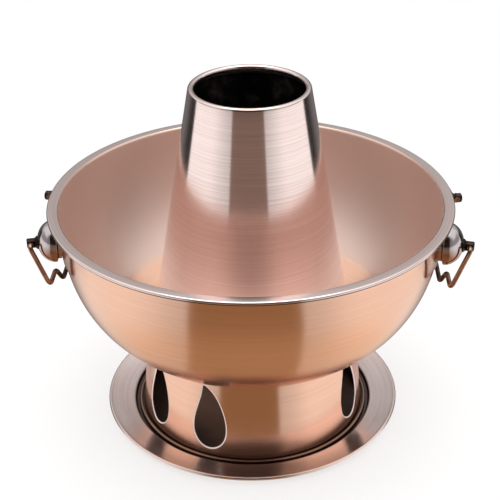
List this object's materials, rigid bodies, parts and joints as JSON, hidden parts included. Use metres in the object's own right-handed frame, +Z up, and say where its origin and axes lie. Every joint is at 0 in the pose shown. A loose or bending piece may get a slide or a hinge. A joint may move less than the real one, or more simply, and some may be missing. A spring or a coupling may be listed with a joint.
{
  "type": "chimney hot pot",
  "caption": "Charcoal hot pot: a round bowl with a conical fire chimney through its middle, on a vented pedestal in a loose tray, with a swinging wire bail on ball lugs at each side.",
  "frame": {"origin": "on the table, under the axis of the bowl", "axes": "+Z up, the two bails at +X and -X, the front that the picture shows towards -Y"},
  "size_m": [0.3668, 0.3398, 0.302],
  "materials": {
    "copper_brushed": "circularly brushed copper",
    "copper_polished": "polished, slightly tarnished copper",
    "copper_antique": "darkened, polished copper",
    "copper_wire": "darkened copper wire",
    "steel_grate": "plain sheet steel, dull from heat"
  },
  "bodies": {
    "tray": {"tray": "copper_polished"},
    "pot": {"pedestal": "copper_brushed", "bowl": "copper_brushed", "chimney": "copper_brushed", "grate_tabs": "steel_grate", "right_plate": "copper_antique", "left_plate": "copper_antique", "right_front_stud": "copper_antique", "right_rear_stud": "copper_antique", "left_front_stud": "copper_antique", "left_rear_stud": "copper_antique", "right_front_washer": "copper_antique", "right_rear_washer": "copper_antique", "left_front_washer": "copper_antique", "left_rear_washer": "copper_antique", "right_front_ball": "copper_antique", "right_rear_ball": "copper_antique", "left_front_ball": "copper_antique", "left_rear_ball": "copper_antique", "right_front_cap": "copper_antique", "right_rear_cap": "copper_antique", "left_front_cap": "copper_antique", "left_rear_cap": "copper_antique"},
    "grate": {"grate": "steel_grate"},
    "right_bail": {"right_bail": "copper_wire"},
    "left_bail": {"left_bail": "copper_wire"}
  },
  "joints": [
    {"name": "pot_lift", "type": "slide", "parent": "tray", "child": "pot", "axis": [0, 0, 1], "range_m": [0, 0.15]},
    {"name": "grate_lift", "type": "slide", "parent": "pot", "child": "grate", "axis": [0, 0, 1], "range_m": [0, 0.02]},
    {"name": "right_bail_swing", "type": "hinge", "parent": "pot", "child": "right_bail", "pos_m": [0.179, 0, 0.1808], "axis": [0, -1, 0], "range_deg": [-7, 232]},
    {"name": "left_bail_swing", "type": "hinge", "parent": "pot", "child": "left_bail", "pos_m": [-0.179, 0, 0.1808], "axis": [0, 1, 0], "range_deg": [-7, 232]}
  ]
}
